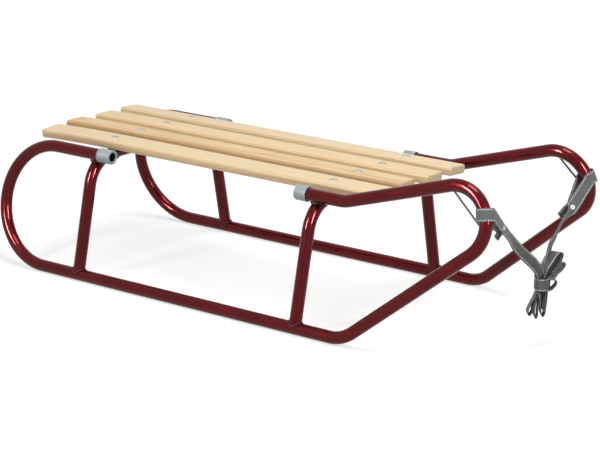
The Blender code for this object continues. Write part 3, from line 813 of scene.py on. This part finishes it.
# Round tube along a path. The rings go down each open end's bore, so the ends show a rim and a hole.
def addTube(name, path, across, values):
    radius, inner = sled["tubeRadius"], sled["tubeRadius"] - sled["tubeWall"]
    path = fillPath(path, values["step"])
    direction = pathDirections(path)
    spokes = carryRings(circlePoints(1.0, values["sides"]), path, across) - path[:, None]
    first, last = path[0] + inner * spokes[0], path[-1] + inner * spokes[-1]
    rings = np.concatenate([
        [first + direction[0] * values["bore"], first],
        path[:, None] + radius * spokes,
        [last, last - direction[-1] * values["bore"]]])
    return ringsObject(name, rings)


# Inside the bores the steel is bare, and its near-black colour also paints the shade deep in the tube: the
# faces of the first and the last strip, and the two closing fans.
def boreSteelAndShade(item, material, sides):
    item.data.materials.append(material)
    shadedBoreFaces = np.zeros(len(item.data.polygons), dtype=np.int32)
    shadedBoreFaces[:sides] = 1
    shadedBoreFaces[-3 * sides:] = 1
    item.data.polygons.foreach_set("material_index", shadedBoreFaces)


for label, side in sled["sides"].items():
    tube = addTube(f"runner{label}", runnerPath(runnerValues, side), sideNormal(side), runnerValues)
    finishPiece(tube, "lacquer", lacquer, f"runner_{label.lower()}")
    # The bores' faces get the dark rod steel, which is partly painted shade deep in the tube.
    boreSteelAndShade(tube, rodSteel, runnerValues["sides"])
print("runners are bent")

bowValues = {
    "sides": 48,
    "step": 0.010,
    "bend": 0.0525,
    "tight": (0.110343, 0.146360),
    "eased": (0.077743, -0.119146),
    "easedBend": 0.320,
    "easeTurn": math.radians(7.0),
    "sink": 0.0005,
    "trim": 0.002,
}


# Half a bow from its foot: straight leg, tight shoulder, eased bend, level middle. The other half is its
# mirror image.
def bowPath(values, place):
    turn = math.pi / 2 - values["easeTurn"]
    tight = arcPoints(values["tight"], values["bend"], sled["sideLean"], turn)
    eased = arcPoints(values["eased"], values["easedBend"], turn, math.pi / 2)[1:]
    half = np.vstack([sidePlace(0.0, 0.0, 1)[1:], tight, eased])
    flat = np.vstack([half, (half * (-1, 1))[::-1]])
    return np.column_stack([np.full(len(flat), place), flat])


# A bow stands on the ground tubes. Its path starts a trim above them, and its end rings go down to the
# saddle where the tubes meet: height = radius * |cos|.
def addBow(label, place, values):
    radius = sled["tubeRadius"]
    path = bowPath(values, place)
    first, last = unit(path[1] - path[0]), unit(path[-2] - path[-1])
    path[0] += first * (radius + values["trim"])
    path[-1] += last * (radius + values["trim"])
    ring = circlePoints(radius, values["sides"])
    rings = carryRings(ring, fillPath(path, values["step"]), (1.0, 0.0, 0.0))
    saddle = np.abs(ring[:, 0]) - (radius + values["trim"]) - values["sink"]
    rings[0] += saddle[:, None] * first
    rings[-1] += saddle[:, None] * last
    item = ringsObject(f"bow{label}", rings)
    return finishPiece(item, "lacquer", lacquer, f"bow_{label.lower()}")


for label, place in sled["bows"].items():
    addBow(label, place, bowValues)
print("bows are up")

tubeEnds = {
    "Rear": {"tubeEnd": -0.2483, "facing": 1.0, "across": 0.1512, "height": 0.2066, "capLength": 0.0265},
    "Front": {"tubeEnd": 0.1295, "facing": -1.0, "across": 0.14558, "height": 0.21006, "capLength": 0.0216},
}
weldValues = {
    "foot": 0.0017,
    "footProud": 0.0005,
    "footDip": 0.93,
    "shoulder": 0.0030,
    "reach": 0.0072,
    "swell": 0.14,
    "ripples": 20,
    "smoothing": 5,
    "points": 72,
    "sides": 12,
    "sharp": 80.0,
    "footSeed": 7,
    "shoulderSeed": 27,
}


# A weld bead: a round section along a closed line. Radius = bead * (1 + swell * (ripples + noise)).
def addBead(name, line, radius, seed, values):
    count = len(line)
    rough = np.tile(np.random.default_rng(seed).normal(size=count), 3)
    rough = np.convolve(rough, np.ones(values["smoothing"]) / values["smoothing"], "same")[count:2 * count]
    ripple = np.sin(np.arange(count) / count * 2 * math.pi * values["ripples"])
    grown = radius * (1.0 + values["swell"] * (ripple + rough))
    direction = unit(np.roll(line, -1, axis=0) - np.roll(line, 1, axis=0))
    sections = grown[:, None, None] * circlePoints(1.0, values["sides"])
    rings = carryRings(sections, line, line - line.mean(axis=0), direction)
    rings = np.concatenate([rings, rings[:1]])
    item = cleanMesh(ringsObject(name, rings, False, values["sharp"]))
    # The bead takes the near-black weld paint, which is partly painted shade.
    return finishPiece(item, "lacquer", weldPaintAndShade)


# Round a leg's foot the bead follows the line where the leg meets the ground tube:
# height = radius * sqrt(1 - dip * sin ** 2), a little flatter than the true line.
def footLine(place, side, values):
    grown = sled["tubeRadius"] + values["footProud"]
    angle = np.linspace(0.0, 2 * math.pi, values["points"], endpoint=False)
    upPlane = unit(sidePlace(0.0, 0.1, side) - sidePlace(0.0, 0.0, side))
    height = grown * np.sqrt(1.0 - values["footDip"] * np.sin(angle) ** 2)
    level = grown * (np.cos(angle)[:, None] * (1.0, 0.0, 0.0) + np.sin(angle)[:, None] * sideNormal(side))
    return sidePlace(place + sled["middle"], 0.0, side) + level + height[:, None] * upPlane


# Where a tube's free end rests on a bow's shoulder the bead lies in the wedge between the round tubes:
# lift = (across ** 2 - along ** 2) / (4 * radius), less the shoulder's own bend.
def shoulderLine(place, side, end, values):
    radius, bend, reach = sled["tubeRadius"], bowValues["bend"], values["reach"]
    centre = np.array(bowValues["tight"])
    outward = unit(np.array((end["across"], end["height"])) - centre)
    normal = np.array((0.0, side * outward[0], outward[1]))
    contact = np.array((place, side * centre[0], centre[1])) + normal * (bend + radius)
    angle = np.linspace(0.0, 2 * math.pi, values["points"], endpoint=False)
    along, across = reach * np.cos(angle), reach * np.sin(angle)
    lift = (across ** 2 - along ** 2) / (4 * radius) - across ** 2 / (4 * (bend + radius))
    ahead = np.array((1.0, 0.0, 0.0))
    level = along[:, None] * ahead + across[:, None] * np.cross(normal, ahead)
    return contact + level + lift[:, None] * normal


for bowNumber, (bowLabel, place) in enumerate(sled["bows"].items()):
    for sideNumber, (label, side) in enumerate(sled["sides"].items()):
        count = 2 * bowNumber + sideNumber
        line = footLine(place, side, weldValues)
        addBead(f"weldFoot{bowLabel}{label}", line, weldValues["foot"], weldValues["footSeed"] + count,
                weldValues)
        line = shoulderLine(place, side, tubeEnds[bowLabel], weldValues)
        addBead(f"weldShoulder{bowLabel}{label}", line, weldValues["shoulder"],
                weldValues["shoulderSeed"] + count, weldValues)
print("welds are laid")

capValues = {
    "wall": 0.0016,
    "lip": 0.002,
    "hole": 0.0075,
    "round": 0.0011,
    "mouthShare": 0.6,
    "lipShare": 0.8,
    "start": 0.0004,
    "rim": 0.00025,
    "rimMiddle": 0.004,
    "rimEnd": 0.0052,
    "cornerPoints": 6,
    "sides": 64,
}


# Half section of a cap as (radius, height over the tube's end): sleeve with a faint rim at its mouth, a
# rounded shoulder, and a lip whose edge is half a circle.
def capProfile(values, length):
    gap, r, lip = sled["seatGap"], values["round"], values["lip"] / 2
    inner = sled["tubeRadius"] + gap
    outer, tip = inner + values["wall"], gap + values["lip"]
    back, mouth = tip - length, values["mouthShare"] * r
    start = (inner, back + values["start"])
    quarter = np.linspace(0.0, math.pi / 2, values["cornerPoints"])
    rounded = [(1 - math.sin(turn), 1 - math.cos(turn)) for turn in quarter]
    half = [(1 - math.sin(turn), 1 - math.cos(turn)) for turn in 2 * quarter]
    profile = [start] + [(outer - mouth * x, back + mouth * y) for x, y in rounded]
    profile += [(outer + values["rim"], back + values["rimMiddle"]), (outer, back + values["rimEnd"])]
    profile += [(outer - r * y, tip - r * x) for x, y in rounded]
    profile += [(values["hole"] + lip * values["lipShare"] * x, tip - lip * y) for x, y in half]
    return profile + [(inner, gap), start]


for bowLabel, end in tubeEnds.items():
    for label, side in sled["sides"].items():
        place = (end["tubeEnd"], side * end["across"], end["height"])
        profile = capProfile(capValues, end["capLength"])
        cap = turnProfile(f"cap{bowLabel}{label}", profile, place, (end["facing"], 0.0, 0.0),
                          capValues["sides"], closed=False)
        finishPiece(cleanMesh(cap), "cap_plastic", plastic, f"cap_{bowLabel.lower()}_{label.lower()}")

rodValues = {
    "radius": 0.0015,
    "beyond": 0.0015,
    "step": 0.004,
    "sides": 20,
    "Right": (97.0, 3.0),
    "Left": (84.0, 0.0),
}

# A guard rod bridges the inside of a nose bend between two angles.
for label, side in sled["sides"].items():
    inside = noseBend["radius"] - sled["tubeRadius"]
    high, low = (nosePlace(math.radians(angle), inside, side) for angle in rodValues[label])
    slant = unit(high - low) * rodValues["beyond"]
    path = fillPath(np.array([low - slant, high + slant]), rodValues["step"])
    rings = carryRings(circlePoints(rodValues["radius"], rodValues["sides"]), path, sideNormal(side))
    rod = ringsObject(f"guardRod{label}", rings)
    finishPiece(rod, "rod_steel", rodSteel, f"guard_rod_{label.lower()}")
print("caps and guard rods are fitted")

slatValues = {
    "count": 4,
    "width": 0.043,
    "thickness": 0.015,
    "edge": 0.0045,
    "leastEdge": 0.0006,
    "rear": -0.4338,
    "front": 0.2597,
    "shifts": (0.0, -0.006, 0.001, 0.0),
    "droops": (0.0030, 0.0020, 0.0012, 0.0005),
    "pitch": 0.065473,
    "endRound": 0.0030,
    "endRun": 0.010,
    "runPoints": 64,
    "cornerPoints": 7,
    "facePoints": 11,
}


# Where a slat lies on its bow: place across = (number - half of the last number) * pitch, the height of the
# bow's middle line there, and the turn of its eased bend.
def slatSeat(number):
    across = (number - (slatValues["count"] - 1) / 2) * slatValues["pitch"]
    turn = math.asin(max(0.0, abs(across) - bowValues["eased"][0]) / bowValues["easedBend"])
    height = bowValues["eased"][1] + bowValues["easedBend"] * math.cos(turn)
    return across, height, math.copysign(turn, across)


# A board on the bows. Its ends are rounded over, inset = round * (1 - sin), and behind the rear bow it
# hangs a little: drop = droop * (share of the overhang) ** 2.
def addSlat(number, values, material):
    across, height, turn = slatSeat(number)
    half, depth, points = values["width"] / 2, values["thickness"] / 2, values["cornerPoints"]
    reach = sled["tubeRadius"] + sled["seatGap"] + depth
    rear, front = values["rear"] + values["shifts"][number], values["front"] + values["shifts"][number]
    bend = np.linspace(0.0, math.pi / 2, points)
    inset, step = values["endRound"] * (1 - np.sin(bend)), values["endRound"] * (1 - np.cos(bend))
    middle = np.linspace(rear + values["endRun"], front - values["endRun"], values["runPoints"])
    places = np.concatenate([rear + step, middle, (front - step)[::-1]])
    insets = np.concatenate([inset, np.zeros(len(middle)), inset[::-1]])
    share = np.clip((sled["bows"]["Rear"] - places) / (sled["bows"]["Rear"] - rear), 0.0, 1.0)
    path = np.column_stack([places, np.full(len(places), across + reach * math.sin(turn)),
                            height + reach * math.cos(turn) - values["droops"][number] * share ** 2])
    edges = np.maximum(values["edge"] - insets, values["leastEdge"])
    sections = np.stack([roundedSection(half - inset, depth - inset, edge, points, values["facePoints"])
                         for inset, edge in zip(insets, edges)])
    rings = carryRings(sections, path, (0.0, math.cos(turn), -math.sin(turn)))
    item = ringsObject(f"slat{number + 1}", rings)
    return finishPiece(item, "wood", material, f"slat_{number + 1}")


for number in range(slatValues["count"]):
    addSlat(number, slatValues, makeWood(f"lightWood{number + 1}", woodValues, number))
print("slats are laid")

boltValues = {
    "head": 0.0069,
    "rise": 0.0013,
    "headRound": 0.0022,
    "crownShare": 0.35,
    "chamfer": 0.0005,
    "shank": 0.003,
    "shankRun": 0.004,
    "foot": 0.0052,
    "footTop": 0.0009,
    "footLow": 0.0004,
    "footRise": 0.0016,
    "footShare": 0.93,
    "fine": 0.0001,
    "bendPoints": 7,
    "sides": 36,
    "sharp": 35.0,
}


# Half sections of a bolt as (radius, height over the bow's middle line): its flat head on the wood, and the
# low dome that closes it under the tube. Both are rounded: height = rise * sin.
def boltProfiles(values):
    r, rise, shank, foot, fine = (values[key] for key in ("head", "rise", "shank", "foot", "fine"))
    top = sled["tubeRadius"] + sled["seatGap"] + slatValues["thickness"]
    low = -sled["tubeRadius"]
    rim, end = top + fine, low - values["footLow"]
    bend = np.linspace(0.0, math.pi / 2, values["bendPoints"])
    across, up = values["headRound"] * (1 - np.cos(bend)), (rise - 3 * fine) * np.sin(bend)
    head = [(shank, top - values["shankRun"]), (shank, top - 2 * fine)]
    head += [(r - values["chamfer"], top - 3 * fine), *zip(r - across, rim + up)]
    head += [(r * values["crownShare"], top + rise - fine / 2), (3 * fine, top + rise)]
    across, up = values["footShare"] * foot * np.cos(bend), values["footRise"] * np.sin(bend)
    collar = [(shank, low + values["footTop"] + 3 * fine), (foot, low + values["footTop"]),
              (foot + 2 * fine, low + 2 * fine), (foot, end)]
    closed = list(zip(across, end - up))[:-1] + [(3 * fine, end - values["footRise"])]
    return {"Head": head, "Foot": collar + closed}


# A bolt stands square to the bow where its slat lies.
def addBolt(name, place, number, values):
    across, height, turn = slatSeat(number)
    base, axis = (place, across, height), (0.0, math.sin(turn), math.cos(turn))
    items = []
    for part, profile in boltProfiles(values).items():
        item = turnProfile(name + part, profile, base, axis, values["sides"], values["sharp"])
        items.append(cleanMesh(item))
    return finishPiece(joinPieces(name, items), "rod_steel", zinc)


for bowLabel, place in sled["bows"].items():
    for number in range(slatValues["count"]):
        addBolt(f"bolt{bowLabel}{number + 1}", place, number, boltValues)
print("bolts are set")

studioValues = {
    "floor": (0.52, 0.52, 0.52, 1.0),
    "halfFloor": 12.0,
    "floorGap": 0.0002,
    "glow": (0.66, 1.0),
    "fade": (0.9, 3.0),
    "ambient": (0.98, 0.99, 1.0, 1.0),
    "ambientStrength": 0.20,
    "white": (1.0, 1.0, 1.0, 1.0),
    "aim": (0.0, 0.0, 0.15),
}


# Plain floor with a white glow that only the camera and mirrors see, so the object's shadow stays on it.
# The glow grows with the distance from the middle, because the lamps light the far floor less.
def addFloor(values):
    half, low = values["halfFloor"], cadBox[0][2] - values["floorGap"]
    corners = [(-half, -half, low), (half, -half, low), (half, half, low), (-half, half, low)]
    floor = meshObject("floor", corners, [(0, 1, 2, 3)])
    n = nodeTools("paleFloor")
    reach = n.add("ShaderNodeVectorMath", {0: n.mapped()})
    reach.operation = "LENGTH"
    glow = n.remap(reach.outputs["Value"], *values["fade"], *values["glow"])
    floor.data.materials.append(n.finish({
        "Base Color": values["floor"], "Roughness": 1.0, "Specular IOR Level": 0.0,
        "Emission Color": values["white"],
        "Emission Strength": n.calc("MULTIPLY", n.directRays(), glow)}))


# The world: soft light for the object, and plain white for the camera, mirrors and glass.
def addWorld(values):
    n = nodeTools("studio", bpy.data.worlds)
    bpy.context.scene.world = n.owner
    n.tree.nodes.clear()
    inputs = ({"Color": values["ambient"], "Strength": values["ambientStrength"]}, {"Color": values["white"]})
    soft, white = (n.add("ShaderNodeBackground", each).outputs[0] for each in inputs)
    blend = n.add("ShaderNodeMixShader", {0: n.directRays(), 1: soft, 2: white})
    n.add("ShaderNodeOutputWorld", {"Surface": blend.outputs[0]})


lamps = {
    "leftLamp": {"place": (-0.69, -2.58, 1.40), "size": (0.42, 0.42), "power": 24.0},
    "rightLamp": {"place": (2.60, -0.85, 1.40), "size": (0.40, 0.40), "power": 20.0},
    "topLamp": {"place": (0.45, -0.05, 2.60), "size": (1.60, 0.90), "power": 44.0},
    "leftCard": {"place": (-0.70, -2.62, 1.42), "size": (0.55, 1.40), "power": 130.0, "cardOnly": True},
    "rightCard": {"place": (2.64, -0.86, 1.42), "size": (0.55, 1.40), "power": 120.0, "cardOnly": True},
}


# Lamps look at the sled's middle. The two cards give nothing but their own mirror image on gloss.
def addLamp(name, values):
    data = bpy.data.lights.new(name, "AREA")
    data.shape = "RECTANGLE"
    data.size, data.size_y = values["size"]
    data.energy = values["power"]
    item = addObject(name, data)
    item.visible_diffuse = not values.get("cardOnly", False)
    item.location = values["place"]
    ahead = Vector(studioValues["aim"]) - Vector(values["place"])
    item.rotation_euler = ahead.to_track_quat("-Z", "Y").to_euler()


addFloor(studioValues)
addWorld(studioValues)
for name, values in lamps.items():
    addLamp(name, values)
bpy.context.scene.view_settings.view_transform = "Standard"
print("studio is lit")
